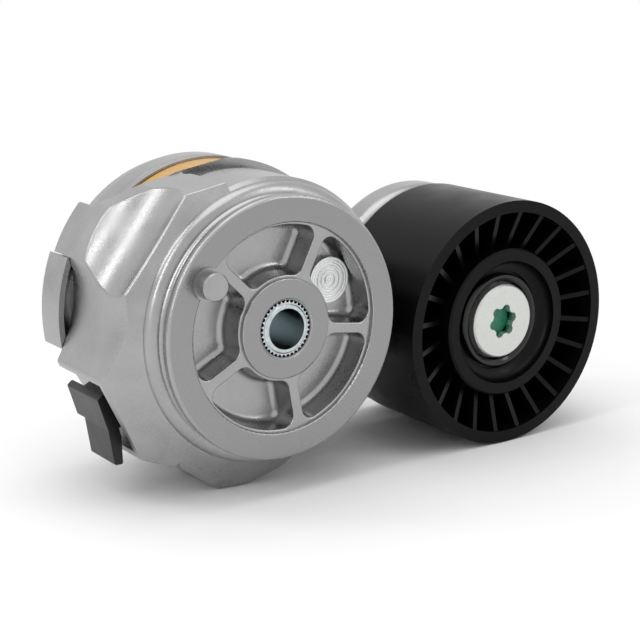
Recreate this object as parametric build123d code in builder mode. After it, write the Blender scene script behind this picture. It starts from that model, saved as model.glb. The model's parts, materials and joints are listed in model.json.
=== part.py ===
"""Belt tensioner with a flat-faced idler pulley, as an assembly of separate pieces.

Frame, in millimetres: +Z is up, the pivot and pulley axes run along Y, the origin is the centre of
the mounting bore on the mounting face, and the engine side is -Y. Angles are in the XZ plane,
from +X towards +Z, as seen from the mounting side.
"""

from build123d import *
import os
from math import cos, hypot, radians, sin

os.makedirs("parts", exist_ok=True)

# ---------------------------------------------------------------- driving dimensions
arm_length = 88.3          # pivot axis to pulley axis
arm_angle = -7.33          # direction of the pulley axis at rest
pulley_x = arm_length * cos(radians(arm_angle))
pulley_z = arm_length * sin(radians(arm_angle))
running_gap = 0.05         # radial clearance of a running fit

# spring housing (the fixed casting)
flange_radius = 39.4       # outer edge of the mounting ring
recess_radius = 31.2       # inner edge of the mounting ring
boss_radius = 15.0         # centre boss, flush with the ring
ridge_radius = 42.2        # second step behind the ring
ridge_y = 9.0
ring_groove_radius = 38.4  # bottom of the groove between ring and ridge
drum_radius = 43.2
rim_radius = 45.4          # rear rim, next to the arm
rim_front_y = 35.5
housing_rear_y = 45.0
stop_lug_rear_y = 56.0
shoulder_slope = 0.763     # rise of the shoulder cone in Y for each mm of radius
spoke_count = 5
spoke_start = -8.0
spoke_width = 3.2
spoke_top_y = 1.1
pocket_floor_y = 9.0
pocket_outer_radius = 30.5
pocket_inner_radius = 15.75
cavity_floor_y = 14.0
cavity_radius = 37.0
post_radius = 12.0
post_rear_y = 52.0
damper_bore_radius = 44.3
damper_bore_y = 36.8

# scoop, groove and window in the drum
disc_radius = 7.0
disc_y = 6.8
disc_centre = (22.6 * cos(radians(28.5)), 22.6 * sin(radians(28.5)))
scoop_radius = 24.0
scoop_normal = 142.5
scoop_depth = 43.3         # nearest the scoop comes to the pivot axis
scoop_y = 20.7
groove_start = 105.0
groove_arc = 150.0
groove_floor = 41.7
groove_width = 6.0
groove_y = 32.5
window_angle = 99.5
window_depth = 39.6        # distance of the cut from the pivot axis at the rear face
window_tilt = 62.0

# mounting sleeve
sleeve_bore_radius = 6.1
sleeve_nose_radius = 7.43
sleeve_radius = 8.0
knurl_radius = 8.6
knurl_root_radius = 7.75
knurl_start_y = 0.6
knurl_end_y = 14.0
knurl_teeth = 36
sleeve_rear_y = 64.5

# locating pin, cast on the mounting ring
pin_radius = 4.1
pin_root_radius = 4.85
pin_x, pin_z = -26.4, 16.7
pin_front_y = -5.0
pin_root_y = -0.8

# arm
arm_front_y = 45.5
arm_rear_y = 65.5
hub_radius = 45.0
hub_draft = 1.7            # how much narrower the hub is at its rear
lug_lip_radius = 48.7      # inside of the lip at the front of the stop lug
head_radius = 39.3
head_front_y = 46.2
head_rear_y = 60.0
neck_half_width = 25.0
hub_tube_radius = 17.5
hub_bore_radius = 13.8
skirt_radius = 41.4
skirt_bore_radius = 38.0
skirt_front_y = 38.0
journal_radius = 8.5       # bearing bore 17 mm
shoulder_radius = 11.4
shoulder_y = 34.5

# pulley and its double-row bearing (17 x 40 x 26)
pulley_radius = 40.0
pulley_front_y = 1.4
pulley_rear_y = 43.2
rim_bore_radius = 36.2
pulley_hub_radius = 24.2
pulley_lip_radius = 18.9
front_lip_radius = 16.4
front_lip_y = 7.4
hub_front_y = 2.6
rib_rim_y = 1.9            # front edge of a rib at the rim
rib_hub_y = 7.2            # and at the hub
rib_count = 24
rib_width = 1.6
rib_start = 8.6
web_y = 22.0
web_thickness = 4.0
bearing_radius = 20.0
bearing_front_y = 8.5
bearing_rear_y = 34.5
ball_pitch_radius = 14.2
ball_radius = 3.4
balls_per_row = 9
race_clearance = 0.05
row_positions = (14.7, 28.3)
inner_shoulder_radius = 11.9
outer_shoulder_radius = 16.6

# pulley bolt, M10 with a six-lobe socket
bolt_radius = 5.0
bolt_head_radius = 12.1
bolt_head_front_y = 4.7
bolt_head_rear_y = 7.7
socket_depth = 3.6


def section(y):
    """The XZ plane at depth y, with sketch x along +X and sketch y along +Z."""
    return Plane.XZ.offset(-y)


def pulley_section(y):
    """The same plane with its origin on the pulley axis."""
    return Plane(origin=(pulley_x, y, pulley_z), x_dir=(1, 0, 0), z_dir=(0, -1, 0))


def polar(radius, angle):
    """A point at a radius and an angle in degrees, in sketch coordinates."""
    return (radius * cos(radians(angle)), radius * sin(radians(angle)))


pulley_axis = Axis((pulley_x, 0, pulley_z), (0, 1, 0))
pulley_profile = Plane(origin=(pulley_x, 0, pulley_z), x_dir=(1, 0, 0), z_dir=(0, 0, 1))


# ---------------------------------------------------------------- spring housing
# Left-hand outline of the casting: a flat top facet, the stop lug, a concave side and the
# flat that carries the plug, joined inside the round drum.
facet_top = (-13.5, 42.7)
facet_end = (-26.0, 39.8)
lug_start_angle = 137.0
lug_end_angle = 157.5
lug_radius = 50.0
flat_top = (-51.7, -11.5)
flat_end = (-39.2, -37.3)
keel_start = (-29.5, -40.6)
flat_length = hypot(flat_end[0] - flat_top[0], flat_end[1] - flat_top[1])
flat_along = ((flat_end[0] - flat_top[0]) / flat_length, (flat_end[1] - flat_top[1]) / flat_length)
flat_out = (flat_along[1], -flat_along[0])
flat_distance = flat_top[0] * flat_out[0] + flat_top[1] * flat_out[1]
flat_shift = flat_top[0] * flat_along[0] + flat_top[1] * flat_along[1]
plug_pocket_y = 19.5
plug_pocket_floor = 46.8   # distance of the pocket floor from the pivot axis


def flat_section(y):
    """XZ plane at depth y: sketch x runs down the flat from its top corner, y outward."""
    origin = (flat_along[0] * flat_shift, y, flat_along[1] * flat_shift)
    return Plane(origin=origin, x_dir=(flat_along[0], 0, flat_along[1]), z_dir=(0, 1, 0))


# Everything in front of the shoulder cone.
with BuildPart() as shoulder_cutter:
    with BuildSketch(Plane.XY):
        with BuildLine():
            Polyline(
                (ridge_radius, ridge_y - 4.0),
                (ridge_radius, ridge_y),
                (62.0, ridge_y + shoulder_slope * (62.0 - ridge_radius)),
                (62.0, ridge_y - 4.0),
                (ridge_radius, ridge_y - 4.0),
            )
        make_face()
    revolve(axis=Axis.Y)


# Fills the notch between the side of the casting and the keel.
with BuildPart() as keel_web:
    with BuildSketch(section(ridge_y + 0.3)):
        with BuildLine():
            Polyline((-27.0, -30.0), (-29.4, -38.0), (-16.0, -41.0), (-16.0, -34.0), (-27.0, -30.0))
        make_face()
    extrude(amount=-(38.0 - ridge_y))
    add(shoulder_cutter.part, mode=Mode.SUBTRACT)


# The hollow between two spokes, with drafted walls and a round floor edge.
with BuildPart() as pocket_core:
    with BuildSketch(section(spoke_top_y)) as pocket_mouth:
        Circle(pocket_outer_radius)
        Circle(pocket_inner_radius, mode=Mode.SUBTRACT)
        with BuildLine():
            Polyline(
                (0, 0),
                polar(60, spoke_start),
                polar(60, spoke_start + 180 / spoke_count),
                polar(60, spoke_start + 360 / spoke_count),
                (0, 0),
            )
        make_face(mode=Mode.INTERSECT)
        for spoke_angle in (spoke_start, spoke_start + 360 / spoke_count):
            with Locations(polar(recess_radius / 2, spoke_angle)):
                Rectangle(60, spoke_width, rotation=spoke_angle, mode=Mode.SUBTRACT)
        fillet(pocket_mouth.vertices(), 3.4)
    extrude(amount=-(pocket_floor_y - spoke_top_y), taper=7)
    fillet(pocket_core.edges().group_by(Axis.Y)[-1], 2.0)


with BuildPart() as base_housing:
    # front ring, groove, ridge, drum and rear rim as one turned shape
    with BuildSketch(Plane.XY) as turned:
        with BuildLine():
            Line((sleeve_radius, 0), (flange_radius, 0))
            Line((flange_radius, 0), (flange_radius - 0.1, 2.2))
            ThreePointArc((flange_radius - 0.1, 2.2), (ring_groove_radius, 3.9), (39.0, 5.6))
            ThreePointArc((39.0, 5.6), (ridge_radius - 0.7, 6.9), (ridge_radius, ridge_y))
            Polyline(
                (ridge_radius, ridge_y),
                (drum_radius, ridge_y + 1.2),
                (drum_radius, rim_front_y),
                (rim_radius, rim_front_y),
                (rim_radius, housing_rear_y),
                (sleeve_radius, housing_rear_y),
                (sleeve_radius, 0),
            )
        make_face()
        outer_corner = turned.vertices().sort_by(lambda v: hypot(v.X - flange_radius, v.Y))[0]
        fillet(outer_corner, 1.1)
    revolve(axis=Axis.Y)

    # left side of the casting
    with BuildSketch(section(ridge_y)):
        with BuildLine():
            Line((-12.9, 40.0), facet_top)
            Line(facet_top, facet_end)
            Line(facet_end, polar(lug_radius, lug_start_angle))
            ThreePointArc(
                polar(lug_radius, lug_start_angle),
                polar(lug_radius, (lug_start_angle + lug_end_angle) / 2),
                polar(lug_radius, lug_end_angle),
            )
            ThreePointArc(polar(lug_radius, lug_end_angle), (-46.1, 3.0), flat_top)
            Line(flat_top, flat_end)
            Line(flat_end, keel_start)
            Polyline(keel_start, (-24.0, -34.0), (0, 0), (-12.9, 40.0))
        outline_face = make_face()
        soft_corners = outline_face.vertices().filter_by(lambda v: v.X < -25.5 and v.Y > -39)
        fillet(soft_corners, 1.6)
    extrude(amount=-(housing_rear_y - ridge_y))

    # keel under the drum that carries the lower edge
    with BuildSketch(section(ridge_y)):
        with BuildLine():
            Polyline(
                (-30.5, -36.0),
                (-27.5, -41.5),
                (-14.2, -51.2),
                (-4.0, -51.2),
                (6.5, -46.8),
                (11.0, -40.0),
                (-30.5, -36.0),
            )
        keel_face = make_face()
        fillet(keel_face.vertices().filter_by(lambda v: v.Y < -41), 2.4)
    extrude(amount=-(40.0 - ridge_y))

    # shoulder cone in front of the outline
    add(shoulder_cutter.part, mode=Mode.SUBTRACT)

    # soft edge where the shoulder cone meets the sides
    shoulder_faces = base_housing.faces().filter_by(
        lambda f: f.geom_type == GeomType.CONE and f.center().X < -20 and 9 < f.center().Y < 20
    )
    shoulder_edges = shoulder_faces.edges().filter_by(
        lambda e: e.geom_type not in (GeomType.CIRCLE, GeomType.LINE) and e.center().Y > 10.2
    )
    fillet(shoulder_edges, 0.6)

    # web that joins the keel to the side of the drum
    add(keel_web.part)

    # stop lug that runs back beside the arm
    with BuildSketch(section(40.0)):
        with BuildLine():
            Line(polar(46.3, lug_start_angle + 1), polar(lug_radius, lug_start_angle + 1))
            ThreePointArc(
                polar(lug_radius, lug_start_angle + 1),
                polar(lug_radius, (lug_start_angle + lug_end_angle) / 2),
                polar(lug_radius, lug_end_angle),
            )
            Line(polar(lug_radius, lug_end_angle), polar(46.3, lug_end_angle))
            ThreePointArc(
                polar(46.3, lug_end_angle),
                polar(46.3, (lug_start_angle + lug_end_angle) / 2),
                polar(46.3, lug_start_angle + 1),
            )
        make_face()
    extrude(amount=-(stop_lug_rear_y - 40.0))
    stop_lug_edges = base_housing.edges().filter_by(
        lambda e: e.center().Y > housing_rear_y + 5 and e.center().Y < stop_lug_rear_y + 0.1
    )
    fillet(stop_lug_edges, 0.8)

    # spring cavity and damper bore, open to the rear
    with BuildSketch(Plane.XY):
        with BuildLine():
            Polyline(
                (post_radius + 2.6, cavity_floor_y),
                (cavity_radius - 2.0, cavity_floor_y),
                (cavity_radius, cavity_floor_y + 2.0),
                (cavity_radius, damper_bore_y),
                (damper_bore_radius, damper_bore_y),
                (damper_bore_radius, housing_rear_y + 1.0),
                (post_radius, housing_rear_y + 1.0),
                (post_radius, cavity_floor_y + 3.0),
                (post_radius + 2.6, cavity_floor_y),
            )
        make_face()
    revolve(axis=Axis.Y, mode=Mode.SUBTRACT)

    # centre post carries on through the arm
    with BuildSketch(section(housing_rear_y - 5.0)):
        Circle(post_radius)
        Circle(sleeve_radius, mode=Mode.SUBTRACT)
    extrude(amount=-(post_rear_y - housing_rear_y + 5.0))

    # recess between the boss and the ring, down to the spoke tops
    with BuildSketch(section(0)):
        Circle(recess_radius)
        Circle(boss_radius, mode=Mode.SUBTRACT)
    extrude(amount=-spoke_top_y, mode=Mode.SUBTRACT)

    face_edges = base_housing.edges().filter_by(
        lambda e: e.geom_type == GeomType.CIRCLE
        and abs(e.center().Y) < 0.01
        and boss_radius - 0.1 < e.radius < recess_radius + 0.1
    )
    fillet(face_edges, 0.5)

    # five pockets between the spokes
    for pocket in range(spoke_count):
        add(pocket_core.part.rotate(Axis.Y, -pocket * 360 / spoke_count), mode=Mode.SUBTRACT)
    mouth_edges = base_housing.edges().filter_by(
        lambda e: abs(e.center().Y - spoke_top_y) < 0.01
        and boss_radius + 0.3 < hypot(e.center().X, e.center().Z) < recess_radius - 0.3
    )
    fillet(mouth_edges, 0.5)

    # machined disc in the upper right pocket
    with BuildSketch(section(disc_y)):
        with Locations(disc_centre):
            Circle(disc_radius)
    extrude(amount=-(pocket_floor_y - disc_y + 0.5))
    for ring_radius in (1.6, 3.1, 4.6):
        with BuildSketch(section(disc_y)):
            with Locations(disc_centre):
                Circle(ring_radius + 0.35)
                Circle(ring_radius - 0.35, mode=Mode.SUBTRACT)
        extrude(amount=-0.3, mode=Mode.SUBTRACT)

    # locating pin on its tapered root
    with BuildSketch(section(0.6)):
        with Locations((pin_x, pin_z)):
            Circle(pin_root_radius)
    extrude(amount=0.6 - pin_root_y)
    with BuildSketch(section(pin_root_y)):
        with Locations((pin_x, pin_z)):
            Circle(pin_radius)
    extrude(amount=pin_root_y - pin_front_y)
    chamfer(base_housing.edges().group_by(Axis.Y)[0], 0.4)

    # bore for the knurled sleeve, with its lead-in
    with BuildSketch(Plane.XY):
        with BuildLine():
            Polyline(
                (0, -1), (9.2, -1), (9.2, 0), (8.8, 0.4), (8.8, knurl_start_y),
                (knurl_radius, knurl_start_y), (knurl_radius, knurl_end_y),
                (sleeve_radius, knurl_end_y), (sleeve_radius, post_rear_y + 1),
                (0, post_rear_y + 1), (0, -1),
            )
        make_face()
    revolve(axis=Axis.Y, mode=Mode.SUBTRACT)

    # scoop in the upper left side: a big cylinder laid along the ridge line
    scoop_x, scoop_z = polar(scoop_depth + scoop_radius, scoop_normal)
    with BuildSketch(
        Plane(
            origin=(scoop_x, scoop_y, scoop_z),
            x_dir=(0, 1, 0),
            z_dir=(cos(radians(scoop_normal + 90)), 0, sin(radians(scoop_normal + 90))),
        )
    ):
        Circle(scoop_radius)
    extrude(amount=60, both=True, mode=Mode.SUBTRACT)
    scoop_face = base_housing.faces().filter_by(
        lambda f: f.geom_type == GeomType.CYLINDER and f.radius and abs(f.radius - scoop_radius) < 0.01
    )
    fillet(scoop_face.edges(), 1.0)

    # groove round the drum, from its rounded end at the top facet round to the lower right
    groove_x, groove_z = polar(1.0, groove_start)
    groove_plane = Plane(origin=(0, 0, 0), x_dir=(groove_x, 0, groove_z), z_dir=(-groove_z, 0, groove_x))
    with BuildSketch(groove_plane):
        with Locations((groove_floor + 2.5, groove_y)):
            Rectangle(5.0, groove_width)
    revolve(axis=Axis.Y, revolution_arc=groove_arc, mode=Mode.SUBTRACT)
    with BuildSketch(
        Plane(
            origin=(groove_x * groove_floor, groove_y, groove_z * groove_floor),
            x_dir=(0, 1, 0),
            z_dir=(groove_x, 0, groove_z),
        )
    ):
        Circle(groove_width / 2)
    extrude(amount=5.0, mode=Mode.SUBTRACT)

    # pocket behind the flat, for the side plug
    with BuildSketch(flat_section(plug_pocket_y)):
        with BuildLine():
            Polyline(
                (2.0, plug_pocket_floor), (2.0, 60.0), (27.0, 60.0), (25.5, plug_pocket_floor),
                (2.0, plug_pocket_floor),
            )
        make_face()
    extrude(amount=housing_rear_y - plug_pocket_y + 0.5, mode=Mode.SUBTRACT)

    # chordal cut that opens the rear rim at the top
    window_x, window_z = polar(window_depth, window_angle)
    with BuildSketch(
        Plane(
            origin=(window_x, housing_rear_y, window_z),
            x_dir=(sin(radians(window_angle)), 0, -cos(radians(window_angle))),
            z_dir=(
                cos(radians(window_angle)) * sin(radians(window_tilt)),
                cos(radians(window_tilt)),
                sin(radians(window_angle)) * sin(radians(window_tilt)),
            ),
        )
    ):
        Rectangle(60, 60)
    extrude(amount=20, mode=Mode.SUBTRACT)

base_housing.part.label = "base_housing"
export_step(base_housing.part, "parts/base_housing.step")


# ---------------------------------------------------------------- mounting sleeve
with BuildPart() as mounting_sleeve:
    with BuildSketch(Plane.XY) as sleeve_wall:
        with BuildLine():
            Polyline(
                (sleeve_bore_radius, 0), (sleeve_nose_radius, 0),
                (sleeve_nose_radius, knurl_start_y), (knurl_root_radius, knurl_start_y),
                (knurl_root_radius, knurl_end_y), (sleeve_radius, knurl_end_y),
                (sleeve_radius, sleeve_rear_y), (sleeve_bore_radius, sleeve_rear_y),
                (sleeve_bore_radius, 0),
            )
        make_face()
        outer_ends = sleeve_wall.vertices().filter_by(
            lambda v: v.X > 7 and (v.Y < 0.1 or v.Y > sleeve_rear_y - 0.1)
        )
        chamfer(outer_ends, 0.45)
    revolve(axis=Axis.Y)
    with BuildSketch(section(knurl_start_y)):
        with PolarLocations(knurl_radius - 0.55, knurl_teeth):
            Triangle(a=0.95, b=1.1, c=1.1, align=(Align.CENTER, Align.CENTER), rotation=-90)
    extrude(amount=-(knurl_end_y - knurl_start_y))
mounting_sleeve.part.label = "mounting_sleeve"
export_step(mounting_sleeve.part, "parts/mounting_sleeve.step")


# ---------------------------------------------------------------- side plug
plug_front_y = 25.0
with BuildPart() as side_plug:
    with BuildSketch(flat_section(plug_front_y)):
        with BuildLine():
            Polyline(
                (7.6, 50.0), (8.2, 52.4), (18.6, 53.9), (29.0, 57.0), (30.2, 54.6),
                (22.6, 51.2), (16.3, 49.8), (7.6, 50.0),
            )
        leaf = make_face()
        fillet(leaf.vertices(), 0.6)
    extrude(amount=15.0)
    with BuildSketch(flat_section(plug_front_y)):
        with BuildLine():
            Polyline((7.6, 50.0), (8.2, 52.4), (18.6, 53.9), (18.2, 50.2), (7.6, 50.0))
        upper_leaf = make_face()
        fillet(upper_leaf.vertices(), 0.6)
    extrude(amount=19.6)
    with BuildSketch(flat_section(plug_front_y + 1.5)):
        with BuildLine():
            Polyline(
                (9.0, plug_pocket_floor), (9.0, 51.0), (20.5, 51.6), (20.5, plug_pocket_floor),
                (9.0, plug_pocket_floor),
            )
        make_face()
    extrude(amount=13.0)
side_plug.part.label = "side_plug"
export_step(side_plug.part, "parts/side_plug.step")


# ---------------------------------------------------------------- spring seat
with BuildPart() as spring_seat:
    with BuildSketch(Plane.XY):
        with BuildLine():
            Polyline(
                (20.5, cavity_floor_y), (33.5, cavity_floor_y), (33.5, cavity_floor_y + 3.6),
                (32.2, cavity_floor_y + 3.6), (32.2, cavity_floor_y + 1.4),
                (20.5, cavity_floor_y + 1.4), (20.5, cavity_floor_y),
            )
        make_face()
    revolve(axis=Axis.Y)
spring_seat.part.label = "spring_seat"
export_step(spring_seat.part, "parts/spring_seat.step")


# ---------------------------------------------------------------- torsion spring
spring_radius = 27.0
spring_wire_radius = 3.4
spring_pitch = 7.6
spring_start_y = cavity_floor_y + 1.4 + spring_wire_radius + 0.1
spring_height = 32.0
with BuildPart() as torsion_spring:
    with BuildLine() as coil:
        Helix(
            pitch=spring_pitch, height=spring_height, radius=spring_radius,
            center=(0, spring_start_y, 0), direction=(0, 1, 0),
        )
    with BuildSketch(Plane(origin=coil.line @ 0, z_dir=coil.line % 0)):
        Circle(spring_wire_radius)
    sweep(is_frenet=True)
torsion_spring.part.label = "torsion_spring"
export_step(torsion_spring.part, "parts/torsion_spring.step")


# ---------------------------------------------------------------- arm
along = (cos(radians(arm_angle)), 0, sin(radians(arm_angle)))
arm_bore_step_y = post_rear_y + 0.6
spring_pocket_rear_y = 55.6
plate_seat_y = 60.5
plate_seat_radius = 23.5


def arm_section(y):
    """XZ plane at depth y on the pivot axis: sketch x runs along the arm."""
    return Plane(origin=(0, y, 0), x_dir=along, z_dir=(0, -1, 0))


with BuildPart() as arm:
    # head and neck
    with BuildSketch(arm_section(head_front_y)) as arm_outline:
        Circle(hub_radius)
        with Locations((arm_length, 0)):
            Circle(head_radius)
        with Locations((arm_length / 2, 0)):
            Rectangle(arm_length / 2, 2 * neck_half_width)
        waist = arm_outline.vertices().filter_by(lambda v: 10 < abs(v.Y) < 40)
        fillet(waist, 7.0)
    extrude(amount=-(head_rear_y - head_front_y))
    rims = arm.faces().filter_by(Axis.Y)
    fillet(rims.edges(), 4.0)

    # hub drum
    with BuildSketch(Plane.XY) as hub_wall:
        with BuildLine():
            Polyline(
                (0, arm_front_y), (hub_radius, arm_front_y), (hub_radius - hub_draft, arm_rear_y),
                (0, arm_rear_y), (0, arm_front_y),
            )
        make_face()
        fillet(hub_wall.vertices().sort_by(lambda v: -v.X - v.Y)[0], 5.0)
    revolve(axis=Axis.Y)

    # stop lug at the side of the hub
    stop_start, stop_end, stop_radius = 158.0, 189.5, 50.4
    with BuildSketch(section(arm_front_y - 0.2)):
        with BuildLine():
            Line(polar(40, stop_start), polar(stop_radius, stop_start))
            ThreePointArc(
                polar(stop_radius, stop_start),
                polar(stop_radius, (stop_start + stop_end) / 2),
                polar(stop_radius, stop_end),
            )
            Line(polar(stop_radius, stop_end), polar(40, stop_end))
            Line(polar(40, stop_end), polar(40, stop_start))
        make_face()
    extrude(amount=-15.0)
    with BuildSketch(section(arm_front_y - 0.5)):
        with BuildLine():
            Line(polar(hub_radius + 0.3, stop_start + 2), polar(lug_lip_radius, stop_start + 2))
            ThreePointArc(
                polar(lug_lip_radius, stop_start + 2),
                polar(lug_lip_radius, (stop_start + stop_end) / 2),
                polar(lug_lip_radius, stop_end - 2),
            )
            Line(polar(lug_lip_radius, stop_end - 2), polar(hub_radius + 0.3, stop_end - 2))
            ThreePointArc(
                polar(hub_radius + 0.3, stop_end - 2),
                polar(hub_radius + 0.3, (stop_start + stop_end) / 2),
                polar(hub_radius + 0.3, stop_start + 2),
            )
        make_face()
    extrude(amount=-4.0, mode=Mode.SUBTRACT)
    far_edges = arm.edges().filter_by(lambda e: e.center().X < -46 and e.center().Y > 59)
    chamfer(far_edges.filter_by(GeomType.CIRCLE), 3.5, 1.6)

    # spring pocket and skirt
    with BuildSketch(section(arm_front_y)):
        Circle(36.0)
        Circle(hub_tube_radius, mode=Mode.SUBTRACT)
    extrude(amount=-(spring_pocket_rear_y - arm_front_y), mode=Mode.SUBTRACT)
    with BuildSketch(section(skirt_front_y)):
        Circle(skirt_radius)
        Circle(skirt_bore_radius, mode=Mode.SUBTRACT)
    extrude(amount=-(arm_front_y - skirt_front_y + 0.5))

    # hub tube with the bushing bore
    with BuildSketch(section(18.8)):
        Circle(hub_tube_radius)
    extrude(amount=-(arm_front_y + 5 - 18.8))
    with BuildSketch(section(18.8)):
        Circle(hub_bore_radius)
    extrude(amount=-(arm_bore_step_y - 18.8), mode=Mode.SUBTRACT)
    with BuildSketch(section(arm_bore_step_y)):
        Circle(sleeve_radius + 0.6)
    extrude(amount=-(arm_rear_y - arm_bore_step_y), mode=Mode.SUBTRACT)

    # seat for the washer and end plate
    with BuildSketch(section(plate_seat_y)):
        Circle(plate_seat_radius)
    extrude(amount=-(arm_rear_y - plate_seat_y), mode=Mode.SUBTRACT)

    # boss and journal for the pulley bearing
    with BuildSketch(pulley_section(shoulder_y)):
        Circle(shoulder_radius)
    extrude(amount=-(head_front_y + 1 - shoulder_y))
    with BuildSketch(pulley_section(head_front_y + 0.2)):
        Circle(shoulder_radius + 3)
    extrude(amount=1.6)
    with BuildSketch(pulley_section(bearing_front_y + 0.2)):
        Circle(journal_radius)
    extrude(amount=-(shoulder_y - bearing_front_y))
    with BuildSketch(pulley_section(bearing_front_y)):
        Circle(bolt_radius)
    extrude(amount=-38.0, mode=Mode.SUBTRACT)

    # lightening pockets in the back of the head, with ribs between them
    with BuildSketch(pulley_section(head_rear_y - 7.5)) as head_pockets:
        Circle(32.0)
        Circle(14.0, mode=Mode.SUBTRACT)
        with PolarLocations(0, 6, start_angle=arm_angle + 30):
            Rectangle(80, 5.0, align=(Align.MIN, Align.CENTER), mode=Mode.SUBTRACT)
        fillet(head_pockets.vertices(), 2.5)
    extrude(amount=-10.0, mode=Mode.SUBTRACT)

    # square hole for the wrench that lifts the arm
    with BuildSketch(arm_section(head_rear_y - 11.0)):
        with Locations((51.0, 0)):
            Rectangle(12.8, 12.8)
    extrude(amount=-14.0, mode=Mode.SUBTRACT)
arm.part.label = "arm"
export_step(arm.part, "parts/arm.step")


# ---------------------------------------------------------------- pivot bushing
with BuildPart() as pivot_bushing:
    with BuildSketch(Plane.XY):
        with BuildLine():
            Polyline(
                (post_radius + running_gap, 17.3), (17.2, 17.3), (17.2, 18.8),
                (hub_bore_radius, 18.8), (hub_bore_radius, post_rear_y),
                (post_radius + running_gap, post_rear_y), (post_radius + running_gap, 17.3),
            )
        make_face()
    revolve(axis=Axis.Y)
pivot_bushing.part.label = "pivot_bushing"
export_step(pivot_bushing.part, "parts/pivot_bushing.step")


# ---------------------------------------------------------------- damper ring and its band
liner_outer_radius = damper_bore_radius - 0.08
liner_inner_radius = 42.3
with BuildPart() as damper_liner:
    with BuildSketch(Plane.XY):
        with Locations(((liner_outer_radius + liner_inner_radius) / 2, 41.15)):
            Rectangle(liner_outer_radius - liner_inner_radius, 8.1)
    revolve(axis=Axis.Y)
    with BuildSketch(section(37.0)):
        with Locations(polar(43.0, 300)):
            Rectangle(3.0, 5.0, rotation=300)
    extrude(amount=-9.0, mode=Mode.SUBTRACT)
damper_liner.part.label = "damper_liner"
export_step(damper_liner.part, "parts/damper_liner.step")

with BuildPart() as damper_band:
    with BuildSketch(Plane.XY):
        with Locations(((liner_inner_radius + skirt_radius) / 2, 41.15)):
            Rectangle(liner_inner_radius - skirt_radius, 7.0)
    revolve(axis=Axis.Y)
    with BuildSketch(section(37.0)):
        with Locations(polar(42.0, 300)):
            Rectangle(3.0, 5.0, rotation=300)
    extrude(amount=-9.0, mode=Mode.SUBTRACT)
damper_band.part.label = "damper_band"
export_step(damper_band.part, "parts/damper_band.step")


# ---------------------------------------------------------------- thrust washer and end plate
with BuildPart() as thrust_washer:
    with BuildSketch(section(plate_seat_y + 0.05)):
        Circle(22.5)
        Circle(sleeve_radius, mode=Mode.SUBTRACT)
    extrude(amount=-1.4)
thrust_washer.part.label = "thrust_washer"
export_step(thrust_washer.part, "parts/thrust_washer.step")

with BuildPart() as end_plate:
    with BuildSketch(Plane.XY) as plate_wall:
        with BuildLine():
            Polyline(
                (sleeve_radius, plate_seat_y + 1.45), (22.0, plate_seat_y + 1.45),
                (22.0, plate_seat_y + 4.0), (sleeve_radius, plate_seat_y + 4.0),
                (sleeve_radius, plate_seat_y + 1.45),
            )
        make_face()
        fillet(plate_wall.vertices().filter_by(lambda v: v.X > 20), 0.8)
    revolve(axis=Axis.Y)
end_plate.part.label = "end_plate"
export_step(end_plate.part, "parts/end_plate.step")


# ---------------------------------------------------------------- pulley
# One rib in front of the web, sloping in towards the hub, and one behind it.
with BuildPart() as rib_pair:
    with BuildSketch(pulley_profile):
        with BuildLine():
            Polyline(
                (pulley_hub_radius - 0.6, rib_hub_y), (rim_bore_radius + 0.6, rib_rim_y),
                (rim_bore_radius + 0.6, web_y - 1), (pulley_hub_radius - 0.6, web_y - 1),
                (pulley_hub_radius - 0.6, rib_hub_y),
            )
        make_face()
        with BuildLine():
            Polyline(
                (pulley_hub_radius - 0.6, web_y + 1), (rim_bore_radius + 0.6, web_y + 1),
                (rim_bore_radius + 0.6, 41.6), (pulley_hub_radius - 0.6, 39.0),
                (pulley_hub_radius - 0.6, web_y + 1),
            )
        make_face()
    extrude(amount=rib_width / 2, both=True)


with BuildPart() as pulley_body:
    with BuildSketch(pulley_profile) as rim_wall:
        with BuildLine():
            Polyline(
                (rim_bore_radius, pulley_front_y), (pulley_radius, pulley_front_y),
                (pulley_radius, pulley_rear_y), (rim_bore_radius, pulley_rear_y),
                (rim_bore_radius - 0.8, web_y + web_thickness / 2),
                (pulley_hub_radius, web_y + web_thickness / 2),
                (pulley_hub_radius, 41.0), (bearing_radius, 41.0),
                (bearing_radius, bearing_rear_y + 1.6), (pulley_lip_radius, bearing_rear_y + 1.6),
                (pulley_lip_radius, bearing_rear_y), (bearing_radius, bearing_rear_y),
                (bearing_radius, bearing_front_y), (front_lip_radius, bearing_front_y),
                (front_lip_radius, front_lip_y),
            )
            ThreePointArc((front_lip_radius, front_lip_y), (19.2, 5.9), (20.2, hub_front_y))
            Polyline(
                (20.2, hub_front_y), (pulley_hub_radius - 0.6, hub_front_y),
                (pulley_hub_radius, hub_front_y + 0.6),
                (pulley_hub_radius, web_y - web_thickness / 2),
                (rim_bore_radius - 0.8, web_y - web_thickness / 2),
                (rim_bore_radius, pulley_front_y),
            )
        make_face()
        rim_edges = rim_wall.vertices().filter_by(lambda v: v.X > pulley_x + pulley_radius - 0.1)
        fillet(rim_edges, 1.0)
    revolve(axis=pulley_axis)
    for rib in range(rib_count):
        add(rib_pair.part.rotate(pulley_axis, -rib_start - rib * 360 / rib_count))
pulley_body.part.label = "pulley_body"
export_step(pulley_body.part, "parts/pulley_body.step")


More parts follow.
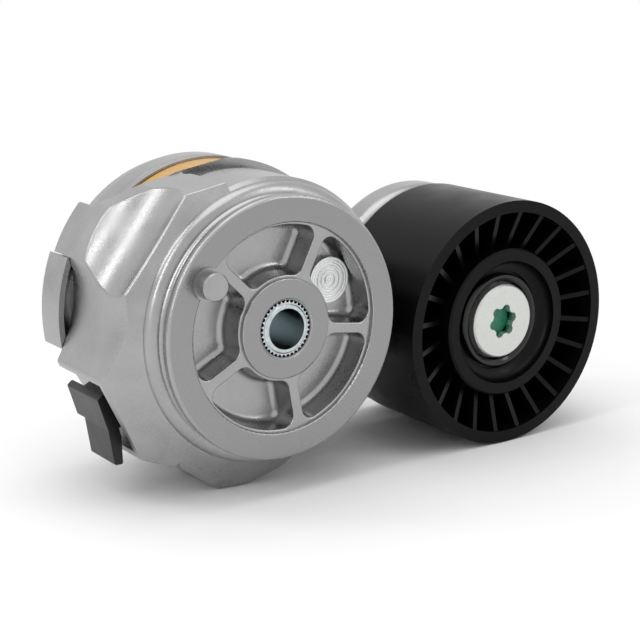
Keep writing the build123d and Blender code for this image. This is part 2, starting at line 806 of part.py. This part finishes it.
# ---------------------------------------------------------------- bearing
groove_radius = ball_radius + race_clearance
with BuildPart() as bearing_outer_ring:
    with BuildSketch(pulley_profile):
        with Locations(((bearing_radius + outer_shoulder_radius) / 2, 21.5)):
            Rectangle(bearing_radius - outer_shoulder_radius, bearing_rear_y - bearing_front_y)
        with Locations(*[(ball_pitch_radius, row) for row in row_positions]):
            Circle(groove_radius, mode=Mode.SUBTRACT)
    revolve(axis=pulley_axis)
bearing_outer_ring.part.label = "bearing_outer_ring"
export_step(bearing_outer_ring.part, "parts/bearing_outer_ring.step")

with BuildPart() as bearing_inner_ring:
    with BuildSketch(pulley_profile):
        with Locations(((journal_radius + inner_shoulder_radius) / 2, 21.5)):
            Rectangle(inner_shoulder_radius - journal_radius, bearing_rear_y - bearing_front_y)
        with Locations(*[(ball_pitch_radius, row) for row in row_positions]):
            Circle(groove_radius, mode=Mode.SUBTRACT)
    revolve(axis=pulley_axis)
bearing_inner_ring.part.label = "bearing_inner_ring"
export_step(bearing_inner_ring.part, "parts/bearing_inner_ring.step")

for row_name, row in zip(("front", "rear"), row_positions):
    with BuildPart(pulley_section(row)) as balls:
        with PolarLocations(ball_pitch_radius, balls_per_row):
            Sphere(ball_radius)
    balls.part.label = "balls_" + row_name
    export_step(balls.part, "parts/balls_" + row_name + ".step")

    with BuildPart(pulley_section(row)) as cage:
        Cylinder(15.0, 8.4)
        Cylinder(13.4, 8.4, mode=Mode.SUBTRACT)
        with PolarLocations(ball_pitch_radius, balls_per_row):
            Cylinder(ball_radius + 0.02, 6.0, rotation=(0, 90, 0), mode=Mode.SUBTRACT)
    cage.part.label = "cage_" + row_name
    export_step(cage.part, "parts/cage_" + row_name + ".step")

for seal_name, seal_y in (("front", bearing_front_y + 0.5), ("rear", bearing_rear_y - 1.3)):
    with BuildPart() as seal:
        with BuildSketch(pulley_section(seal_y)):
            Circle(outer_shoulder_radius)
            Circle(inner_shoulder_radius + 0.3, mode=Mode.SUBTRACT)
        extrude(amount=-0.8)
    seal.part.label = "seal_" + seal_name
    export_step(seal.part, "parts/seal_" + seal_name + ".step")


# ---------------------------------------------------------------- dust cover and rear shield
with BuildPart() as front_dust_cover:
    with BuildSketch(pulley_profile):
        with BuildLine():
            Polyline(
                (bolt_radius, bolt_head_rear_y), (12.6, bolt_head_rear_y), (13.2, 6.4),
                (14.0, 5.9), (15.0, 5.9), (15.6, 6.5), (15.6, 8.2), (12.4, 8.2),
                (11.6, bearing_front_y), (bolt_radius, bearing_front_y),
                (bolt_radius, bolt_head_rear_y),
            )
        make_face()
    revolve(axis=pulley_axis)
front_dust_cover.part.label = "front_dust_cover"
export_step(front_dust_cover.part, "parts/front_dust_cover.step")

with BuildPart() as rear_dust_shield:
    with BuildSketch(pulley_profile):
        with BuildLine():
            Polyline(
                (shoulder_radius, 38.2), (19.2, 38.2), (19.2, 41.4), (18.4, 41.4),
                (18.4, 39.2), (shoulder_radius, 39.2), (shoulder_radius, 38.2),
            )
        make_face()
    revolve(axis=pulley_axis)
rear_dust_shield.part.label = "rear_dust_shield"
export_step(rear_dust_shield.part, "parts/rear_dust_shield.step")


# ---------------------------------------------------------------- pulley bolt
with BuildPart() as pulley_bolt:
    with BuildSketch(pulley_section(bolt_head_front_y)):
        Circle(bolt_head_radius)
    extrude(amount=-(bolt_head_rear_y - bolt_head_front_y))
    chamfer(pulley_bolt.edges().group_by(Axis.Y)[0], 0.5)
    with BuildSketch(pulley_section(bolt_head_rear_y)):
        Circle(bolt_radius)
    extrude(amount=-36.0)
    chamfer(pulley_bolt.edges().group_by(Axis.Y)[-1], 0.9)
    with BuildSketch(pulley_section(bolt_head_front_y)) as socket:
        Circle(4.35)
        with PolarLocations(4.05, 6, start_angle=12):
            Circle(1.55)
    extrude(amount=-socket_depth, mode=Mode.SUBTRACT)
pulley_bolt.part.label = "pulley_bolt"
export_step(pulley_bolt.part, "parts/pulley_bolt.step")
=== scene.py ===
# %% [markdown]
# # A belt tensioner with a flat idler pulley
#
# A tensioner keeps a drive belt tight. A die-cast aluminium housing bolts to the engine and hides
# a coil spring. An arm swings on the housing and carries a black nylon pulley on a ball bearing.
# Every piece here is hard and machined or moulded, so the CAD frame already has its true shape.
# This lesson gives the pieces their finishes, their light and their camera, and moves none.

# %% Load the frame
import bpy
import bmesh
import json
from math import pi, radians
from mathutils import Matrix, Vector


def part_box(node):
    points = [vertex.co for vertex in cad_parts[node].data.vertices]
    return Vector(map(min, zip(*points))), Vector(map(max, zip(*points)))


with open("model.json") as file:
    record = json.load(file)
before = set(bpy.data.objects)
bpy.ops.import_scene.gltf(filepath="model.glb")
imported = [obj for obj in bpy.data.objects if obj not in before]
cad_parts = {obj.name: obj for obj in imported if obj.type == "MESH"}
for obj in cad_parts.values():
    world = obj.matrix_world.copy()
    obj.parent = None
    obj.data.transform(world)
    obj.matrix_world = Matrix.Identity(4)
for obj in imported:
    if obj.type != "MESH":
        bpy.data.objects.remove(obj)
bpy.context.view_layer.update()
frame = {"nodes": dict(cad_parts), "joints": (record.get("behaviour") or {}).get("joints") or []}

nodes = frame["nodes"]
MM = 0.001

# %% [markdown]
# ## Where things are
#
# Two axes matter, and both run along Y: the pivot axis through the origin, and the pulley axis,
# which the record's joint gives. Turning marks are centred on them. The floor lies under the
# lowest of the housing and the pulley, on which the tensioner would stand.

# %% Axes
pulley_joint = next(j for j in frame["joints"] if j["name"] == "pulley_spin")
pulley_axis = Vector(pulley_joint["pos_m"])
floor_z = min(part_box("base_housing")[0].z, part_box("pulley_body")[0].z)
print("pulley axis:", [round(v, 5) for v in pulley_axis], "floor:", round(floor_z, 5))


# %% [markdown]
# ## Helpers for materials
#
# A material is a small machine of nodes that works out colour, roughness and bumps at each point
# of a surface. It could be painted as an image, but a procedure has no seams and stays sharp at
# any distance. Colours are written as sRGB hex, the way a paint chart gives them, and one
# function turns them into the linear values that Blender mixes light with.

# %% Colour
def linear(hex_colour):
    """A linear RGBA colour from an sRGB hex value such as #B9BBBD."""
    channels = []
    for place in (1, 3, 5):
        value = int(hex_colour[place:place + 2], 16) / 255
        channels.append(value / 12.92 if value <= 0.04045 else ((value + 0.055) / 1.055) ** 2.4)
    return (*channels, 1.0)


print("mid grey #808080 in linear light:", round(linear("#808080")[0], 3))


# %% Nodes
def add(tree, kind, inputs=None, out=0, **settings):
    """Adds a node and returns one of its outputs.

    inputs maps a socket's name or number to a number, a hex colour or another node's output.
    """
    node = tree.nodes.new("ShaderNode" + kind)
    for name, value in settings.items():
        setattr(node, name, value)
    for key, value in (inputs or {}).items():
        socket = node.inputs[key]
        if isinstance(value, bpy.types.NodeSocket):
            tree.links.new(value, socket)
        else:
            socket.default_value = linear(value) if isinstance(value, str) else value
    return node.outputs[out]


def new_material(name, **values):
    """A material with one Principled shader whose sockets start at the given values."""
    material = bpy.data.materials.new(name)
    material.use_nodes = True
    tree = material.node_tree
    shader = tree.nodes["Principled BSDF"]
    for socket, value in values.items():
        shader.inputs[socket.replace("_", " ")].default_value = value
    return material, tree, shader


def connect(tree, shader, colour, roughness, bump):
    """Links the three things that every finish here varies over its surface."""
    tree.links.new(colour, shader.inputs["Base Color"])
    tree.links.new(roughness, shader.inputs["Roughness"])
    tree.links.new(bump, shader.inputs["Normal"])


# %% [markdown]
# Patterns are measured in millimetres from a centre, so that their scales can be written as real
# sizes: a noise whose lumps are half a millimetre wide has a scale of one over a half. A Map
# Range node is used all through to stretch a pattern: its sockets 1 and 2 are the range that it
# reads, and 3 and 4 the range that it gives, which is 0 to 1 where they are left out. A Mix node
# for colours takes its factor at socket 0, its colours at 6 and 7, and gives them at output 2.

# %% Places
def object_point(tree, centre=(0, 0, 0)):
    """Object coordinates in millimetres, counted from a centre given in metres."""
    shift = tuple(-part / MM for part in centre)
    return add(tree, "Mapping", {"Vector": add(tree, "TexCoord", out="Object"), "Location": shift,
                                 "Scale": (1 / MM, 1 / MM, 1 / MM)})


def around_axis(tree, point):
    """The distance from an axis along Y, and the depth along it, both in millimetres."""
    x, y, z = add(tree, "SeparateXYZ", {0: point}).node.outputs
    across = add(tree, "CombineXYZ", {0: x, 2: z})
    return add(tree, "VectorMath", {0: across}, out="Value", operation="LENGTH"), y


def finish(node_names, material):
    """Gives a material to CAD nodes."""
    for name in node_names:
        piece = nodes[name]
        piece.data.materials.clear()
        piece.data.materials.append(material)
    print(material.name, "on", ", ".join(node_names))


# %% [markdown]
# ## Tumbled die-cast aluminium
#
# The housing and the arm are pressure die castings, tumbled in a drum of ceramic chips to take
# the flash off. That leaves a bright metal with soft edges, a fine peened grain and slow clouds
# of more and less polish. The eye reads it from soft, broken highlights, so the roughness
# wanders between satin and nearly bright, and two faint bumps break up the reflections. The real
# grain is about 0.2 mm, and it is drawn at 0.6 mm, as coarse as it needs to show.

# %% Cast grain
cast_grain_mm = 0.625
cast_dent_mm = 1.82
cast_cloud_mm = 11.1


def cast_surface(tree, point):
    """The grain, colour, roughness and bump of the casting as it leaves the drum."""
    grain = add(tree, "TexNoise", {"Vector": point, "Scale": 1 / cast_grain_mm, "Detail": 3.0,
                                   "Roughness": 0.6})
    cloud = add(tree, "TexNoise", {"Vector": point, "Scale": 1 / cast_cloud_mm, "Detail": 3.0,
                                   "Roughness": 0.5})
    dents = add(tree, "TexVoronoi", {"Vector": point, "Scale": 1 / cast_dent_mm, "Randomness": 1.0},
                out="Distance")
    tone = add(tree, "MapRange", {0: cloud, 1: 0.3, 2: 0.7})
    speck = add(tree, "MapRange", {0: grain, 1: 0.35, 2: 0.7, 4: 0.18})
    clouded = add(tree, "Mix", {0: tone, 6: "#9C9C9C", 7: "#A9A8A8"}, out=2, data_type="RGBA")
    colour = add(tree, "Mix", {0: speck, 6: clouded, 7: "#9D9E9F"}, out=2, data_type="RGBA")
    polish = add(tree, "MapRange", {0: cloud, 1: 0.3, 2: 0.7, 3: 0.24, 4: 0.34})
    scatter = add(tree, "MapRange", {0: grain, 1: 0.3, 2: 0.7, 3: -0.03, 4: 0.05})
    roughness = add(tree, "Math", {0: polish, 1: scatter}, operation="ADD")
    fine = add(tree, "Bump", {"Height": grain, "Strength": 0.10, "Distance": 0.2 * MM})
    bump = add(tree, "Bump", {"Height": dents, "Strength": 0.06, "Distance": 0.3 * MM,
                              "Normal": fine})
    return grain, colour, roughness, bump


# %% [markdown]
# Two places on the housing are cut after casting. The mounting face is milled flat, which leaves
# an even grey, and it is found by its depth: it is the only cast surface at Y = 0. The small disc
# in the upper right pocket is spot faced, and the cutter leaves bright rings, less than a
# millimetre apart, that wander a little. The deepest three are grooves in the mesh, and the finer
# ones are drawn here, because they are too shallow to be worth modelling.

# %% Cut faces
disc_centre = Vector((19.86, 6.8, 10.78)) * MM
disc_radius_mm = 7.0
disc_ring_mm = 0.8


def milled_face(tree, point, colour):
    """The casting's colour with an even grey on the milled face at Y = 0."""
    depth = around_axis(tree, point)[1]
    behind = add(tree, "MapRange", {0: depth, 1: 0.02, 2: 0.08, 3: 1.0, 4: 0.0})
    before = add(tree, "MapRange", {0: depth, 1: -0.08, 2: -0.02})
    on_face = add(tree, "Math", {0: behind, 1: before}, operation="MULTIPLY")
    return add(tree, "Mix", {0: on_face, 6: colour, 7: "#949494"}, out=2, data_type="RGBA")


def spot_faced_disc(tree, grain, colour, bump):
    """The casting's colour and bump with a cutter's bright rings on the disc."""
    radius, depth = around_axis(tree, object_point(tree, disc_centre))
    inside = add(tree, "MapRange", {0: radius, 1: disc_radius_mm - 0.2, 2: disc_radius_mm,
                                    3: 1.0, 4: 0.0})
    level = add(tree, "Math", {0: depth, 1: 0.0, 2: 0.5}, operation="COMPARE")
    disc = add(tree, "Math", {0: inside, 1: level}, operation="MULTIPLY")
    wander = add(tree, "MapRange", {0: grain, 1: 0.3, 2: 0.7, 3: -0.12, 4: 0.12})
    drift = add(tree, "Math", {0: radius, 1: wander}, operation="ADD")
    turns = add(tree, "Math", {0: drift, 1: 2 * pi / disc_ring_mm}, operation="MULTIPLY")
    rings = add(tree, "Math", {0: turns}, operation="SINE")
    swirl = add(tree, "MapRange", {0: rings, 1: -1.0, 2: 1.0})
    bright = add(tree, "Mix", {0: swirl, 6: "#C9CBCC", 7: "#E4E5E5"}, out=2, data_type="RGBA")
    cut = add(tree, "Bump", {"Height": rings, "Distance": 0.1 * MM, "Normal": bump,
                             "Strength": add(tree, "MapRange", {0: disc, 4: 0.35})})
    return add(tree, "Mix", {0: disc, 6: colour, 7: bright}, out=2, data_type="RGBA"), cut


# %% Cast aluminium
def cast_aluminium():
    """Bare metal, so metallic is 1; its colour is the metal's own reflection."""
    material, tree, shader = new_material("tumbled_cast_aluminium", Metallic=1.0)
    point = object_point(tree)
    grain, colour, roughness, bump = cast_surface(tree, point)
    colour = milled_face(tree, point, colour)
    colour, bump = spot_faced_disc(tree, grain, colour, bump)
    connect(tree, shader, colour, roughness, bump)
    return material


finish(["base_housing", "arm"], cast_aluminium())


# %% [markdown]
# ## Plated, ground and blackened steels
#
# The sleeve is turned from free-cutting steel and zinc plated: fine marks run round its axis and
# the plating gives a cool, slightly blue shine. The end plate and the shield are pressed and
# plated, and duller. The bearing's rings and balls are ground, and nearly a mirror. The spring
# and its band are black from their heat treatment. One function makes all four, because they
# differ only in colour, roughness and axis. A sine of the radius gives the marks, which is
# cheaper and more even than a noise.

# %% Steels
turning_pitch_mm = 0.35
plating_patch_mm = 1.67


def turned_steel(name, light, dark, roughness, axis=(0, 0, 0)):
    """Steel in two shades of patchy plating, with turning marks round an axis along Y."""
    material, tree, shader = new_material(name, Metallic=1.0)
    point = object_point(tree, axis)
    radius, depth = around_axis(tree, point)
    along = add(tree, "Math", {0: radius, 1: depth}, operation="ADD")
    turns = add(tree, "Math", {0: along, 1: 2 * pi / turning_pitch_mm}, operation="MULTIPLY")
    marks = add(tree, "Math", {0: turns}, operation="SINE")
    patches = add(tree, "TexNoise", {"Vector": point, "Scale": 1 / plating_patch_mm, "Detail": 2.0})
    patch = add(tree, "MapRange", {0: patches, 1: 0.35, 2: 0.65})
    colour = add(tree, "Mix", {0: patch, 6: light, 7: dark}, out=2, data_type="RGBA")
    sheen = add(tree, "MapRange", {0: patches, 1: 0.3, 2: 0.7,
                                   3: roughness * 0.8, 4: roughness * 1.2})
    bump = add(tree, "Bump", {"Height": marks, "Strength": 0.06, "Distance": 0.1 * MM})
    connect(tree, shader, colour, sheen, bump)
    return material


finish(["mounting_sleeve"], turned_steel("zinc_plated_turned_steel", "#C9D0D2", "#B4BDC0", 0.22))
finish(["end_plate", "rear_dust_shield"],
       turned_steel("zinc_plated_pressed_steel", "#B9BCBE", "#A7ABAD", 0.34))
finish(["bearing_inner_ring", "bearing_outer_ring", "balls_front", "balls_rear"],
       turned_steel("ground_bearing_steel", "#C8C9CA", "#BDBFC1", 0.14, pulley_axis))
finish(["torsion_spring", "damper_band"],
       turned_steel("blackened_spring_steel", "#3A3A3C", "#2B2B2D", 0.42))


# %% [markdown]
# ## The bolt and its green mark
#
# The bolt's wide flat head has a zinc flake coat, matt and almost white. Its six-lobe socket
# holds a dab of green paint from the tightening station. The paint lies only deep in the socket,
# so it could be a piece of its own, but it has no thickness to see. A mask by distance from the
# bolt's axis and by depth colours it instead, with an edge that wobbles as a brush leaves it.

# %% Bolt
paint_radius_mm = 6.0
paint_depth_mm = 6.4
paint_wobble_mm = 1.11
flake_mm = 0.455


def bolt_coat():
    """Metal flakes in a binder, so metallic stays below 1, and paint where the mask says."""
    material, tree, shader = new_material("zinc_flake_coat")
    point = object_point(tree, pulley_axis)
    radius, depth = around_axis(tree, point)
    wobble = add(tree, "TexNoise", {"Vector": point, "Scale": 1 / paint_wobble_mm, "Detail": 3.0})
    shift = add(tree, "MapRange", {0: wobble, 1: 0.3, 2: 0.7, 3: -0.8, 4: 0.8})
    edge = add(tree, "Math", {0: depth, 1: shift}, operation="ADD")
    deep = add(tree, "MapRange", {0: edge, 1: paint_depth_mm, 2: paint_depth_mm + 0.4})
    inside = add(tree, "Math", {0: radius, 1: paint_radius_mm}, operation="LESS_THAN")
    paint = add(tree, "Math", {0: inside, 1: deep}, operation="MULTIPLY")
    flakes = add(tree, "TexNoise", {"Vector": point, "Scale": 1 / flake_mm, "Detail": 4.0,
                                    "Roughness": 0.7})
    sparkle = add(tree, "MapRange", {0: flakes, 1: 0.3, 2: 0.7})
    brushed = add(tree, "MapRange", {0: wobble, 1: 0.3, 2: 0.7})
    coat = add(tree, "Mix", {0: sparkle, 6: "#C9CCC8", 7: "#DADCD8"}, out=2, data_type="RGBA")
    green = add(tree, "Mix", {0: brushed, 6: "#1F6F56", 7: "#2E9070"}, out=2, data_type="RGBA")
    colour = add(tree, "Mix", {0: paint, 6: coat, 7: green}, out=2, data_type="RGBA")
    roughness = add(tree, "MapRange", {0: flakes, 1: 0.3, 2: 0.7, 3: 0.34, 4: 0.46})
    bump = add(tree, "Bump", {"Height": flakes, "Strength": 0.12, "Distance": 0.2 * MM})
    metal = add(tree, "MapRange", {0: paint, 3: 0.85, 4: 0.0})
    tree.links.new(metal, shader.inputs["Metallic"])
    connect(tree, shader, colour, roughness, bump)
    return material


finish(["pulley_bolt"], bolt_coat())


# %% [markdown]
# ## Moulded plastics and rubber
#
# The pulley is glass-filled nylon 66. The fibres near its skin give a satin black with a faint
# grain and little sheen. The dust cover is unfilled and glossy. The plug and the spring seat are
# a plain charcoal nylon. The damper liner is a tan bearing grade, the bushing and the washer a
# natural one, and the seals are rubber. One function makes them all: two close colours mixed by
# a fine grain, and a gloss that drifts slowly, as it does where a mould is worn. A lower shine
# stands for a skin that the filler leaves open, which reflects less than solid plastic.

# %% Plastics
gloss_drift_mm = 8.3


def moulded(name, base, fleck, roughness, grain_mm=0.5, bump_strength=0.08, shine=0.5):
    """A moulded plastic with a grain of a given size and a faint fleck in its colour."""
    material, tree, shader = new_material(name, IOR=1.53, Specular_IOR_Level=shine)
    point = object_point(tree)
    grain = add(tree, "TexNoise", {"Vector": point, "Scale": 1 / grain_mm, "Detail": 3.0})
    drift = add(tree, "TexNoise", {"Vector": point, "Scale": 1 / gloss_drift_mm, "Detail": 2.0})
    speck = add(tree, "MapRange", {0: grain, 1: 0.35, 2: 0.7})
    colour = add(tree, "Mix", {0: speck, 6: base, 7: fleck}, out=2, data_type="RGBA")
    gloss = add(tree, "MapRange", {0: drift, 1: 0.3, 2: 0.7,
                                   3: roughness * 0.85, 4: roughness * 1.15})
    bump = add(tree, "Bump", {"Height": grain, "Strength": bump_strength, "Distance": 0.2 * MM})
    connect(tree, shader, colour, gloss, bump)
    return material


finish(["pulley_body"], moulded("glass_filled_nylon_black", "#050506", "#09090A", 0.31, shine=0.12))
finish(["side_plug", "spring_seat"],
       moulded("moulded_nylon_charcoal", "#19191A", "#242425", 0.34, shine=0.32))
finish(["front_dust_cover"],
       moulded("gloss_nylon_black", "#070708", "#0B0B0C", 0.13, 0.8, 0.03, shine=0.38))
finish(["thrust_washer", "pivot_bushing"],
       moulded("bearing_nylon_natural", "#D8D3C2", "#CBC5B1", 0.4))
finish(["damper_liner"], moulded("damper_nylon_tan", "#BD914B", "#CBA05E", 0.45))
finish(["cage_front", "cage_rear"], moulded("cage_nylon_brown", "#8A5A32", "#7A4D28", 0.4))
finish(["seal_front", "seal_rear"], moulded("seal_rubber_black", "#161616", "#1E1E1E", 0.6))

# %% [markdown]
# ## Floor
#
# The floor is a pale plane just under the lowest point. It keeps the soft shadow that shows where
# the tensioner stands, and further out it turns into plain white for the camera alone, so that
# no horizon shows. A curved backdrop would do that too, but it would shade the light.

# %% Floor
middle = Vector((0.03, 0.03, 0.0))
floor_gap = 0.2 * MM
floor_half_side = 3.0
floor_speck_mm = 50.0
white_from_mm, white_to_mm = 110.0, 260.0


def floor_finish():
    """Matt white that fades to pure white, away from the tensioner, in what the camera sees."""
    material, tree, shader = new_material("floor_white", Roughness=0.9)
    speck = add(tree, "TexNoise", {"Vector": object_point(tree), "Scale": 1 / floor_speck_mm})
    colour = add(tree, "Mix", {0: speck, 6: "#F4F4F4", 7: "#F8F8F8"}, out=2, data_type="RGBA")
    tree.links.new(colour, shader.inputs["Base Color"])
    away = add(tree, "VectorMath", {0: object_point(tree, middle)}, out="Value", operation="LENGTH")
    far = add(tree, "MapRange", {0: away, 1: white_from_mm, 2: white_to_mm})
    camera_ray = add(tree, "LightPath", out="Is Camera Ray")
    seen_far = add(tree, "Math", {0: far, 1: camera_ray}, operation="MULTIPLY")
    white = add(tree, "Emission", {"Color": "#FFFFFF", "Strength": 1.0})
    blend = add(tree, "MixShader", {0: seen_far, 1: shader.outputs[0], 2: white})
    tree.links.new(blend, tree.nodes["Material Output"].inputs["Surface"])
    return material


def make_floor():
    mesh = bpy.data.meshes.new("floor")
    build = bmesh.new()
    bmesh.ops.create_grid(build, x_segments=1, y_segments=1, size=floor_half_side)
    bmesh.ops.translate(build, verts=build.verts, vec=(0, 0, floor_z - floor_gap))
    build.to_mesh(mesh)
    build.free()
    floor = bpy.data.objects.new("floor", mesh)
    bpy.context.scene.collection.objects.link(floor)
    floor.data.materials.append(floor_finish())
    return floor


print("floor at", round(make_floor().data.vertices[0].co.z, 5))


# %% [markdown]
# ## Lamps
#
# Metal looks like metal only when it has something to reflect. One large soft panel overhead
# lights everything, and three narrow strips, at the left, at the right in front, and behind on
# the left, each draw a bright line along the curved surfaces that face them. Point lamps would
# give small hard glints instead.

# %% Lamps
def soft_panel(name, place, target, width, height, power):
    """An area lamp at a place, turned towards a target."""
    lamp = bpy.data.lights.new(name, "AREA")
    lamp.shape = "RECTANGLE"
    lamp.size = width
    lamp.size_y = height
    lamp.energy = power
    panel = bpy.data.objects.new(name, lamp)
    bpy.context.scene.collection.objects.link(panel)
    aim = (Vector(target) - Vector(place)).to_track_quat("-Z", "Y")
    panel.matrix_world = Matrix.Translation(place) @ aim.to_matrix().to_4x4()
    print(name, "at", place, "gives", power, "watts")


soft_panel("top_panel", (0.0, 0.05, 0.9), middle, 0.9, 0.7, 2.4)
soft_panel("left_strip", (-0.75, -0.15, 0.45), middle, 0.12, 0.7, 1.3)
soft_panel("right_strip", (0.55, -0.65, 0.5), middle, 0.15, 0.6, 0.9)
soft_panel("back_strip", (-0.60, 0.43, 0.66), middle, 0.16, 0.6, 1.2)

# %% [markdown]
# ## Room
#
# The camera, reflections and anything seen through the pieces find a plain white room. The light
# that the room itself sheds is softer: dim at the horizon and brighter overhead, as in a studio
# with a white ceiling, so that undersides fall into shade.

# %% Room
room_dim, room_bright = 0.28, 0.9

room = bpy.data.worlds.new("studio")
bpy.context.scene.world = room
room.use_nodes = True
sky = room.node_tree
backdrop = sky.nodes["Background"]
rays = add(sky, "LightPath").node.outputs
direct = add(sky, "Math", {0: rays["Is Camera Ray"], 1: rays["Is Transmission Ray"]},
             operation="MAXIMUM")
seen = add(sky, "Math", {0: direct, 1: rays["Is Glossy Ray"]}, operation="MAXIMUM")
direction = add(sky, "TexCoord", out="Generated")
height = add(sky, "SeparateXYZ", {0: direction}, out="Z")
glow = add(sky, "MapRange", {0: height, 1: -0.05, 2: 0.8, 3: room_dim, 4: room_bright})
strength = add(sky, "Mix", {0: seen, 2: glow, 3: 1.0})
backdrop.inputs["Color"].default_value = linear("#FFFFFF")
sky.links.new(strength, backdrop.inputs["Strength"])
print("room glows from", room_dim, "to", room_bright)

# %% [markdown]
# ## Camera
#
# The camera stands about forty-five centimetres away, to the left of the tensioner and a little
# above it, and looks slightly down without rolling. The lens is a short telephoto, so the
# pulley, which is further off than the housing, keeps nearly its true proportion to it.

# %% Camera
camera_place = Vector((-241.66, -361.93, 111.96)) * MM
view_direction = Vector((0.5562, 0.7945, -0.2435)).normalized()
field_of_view = 23.28
camera_data = bpy.data.cameras.new("camera")
camera_data.sensor_width = 36.0
camera_data.angle = radians(field_of_view)
camera_data.clip_start = 10 * MM
camera = bpy.data.objects.new("camera", camera_data)
bpy.context.scene.collection.objects.link(camera)
camera.matrix_world = (Matrix.Translation(camera_place)
                       @ view_direction.to_track_quat("-Z", "Y").to_matrix().to_4x4())
bpy.context.scene.camera = camera
bpy.context.scene.view_settings.view_transform = "Standard"
print("camera", round(camera_place.length, 3), "m from the pivot, lens", round(camera_data.lens, 1))
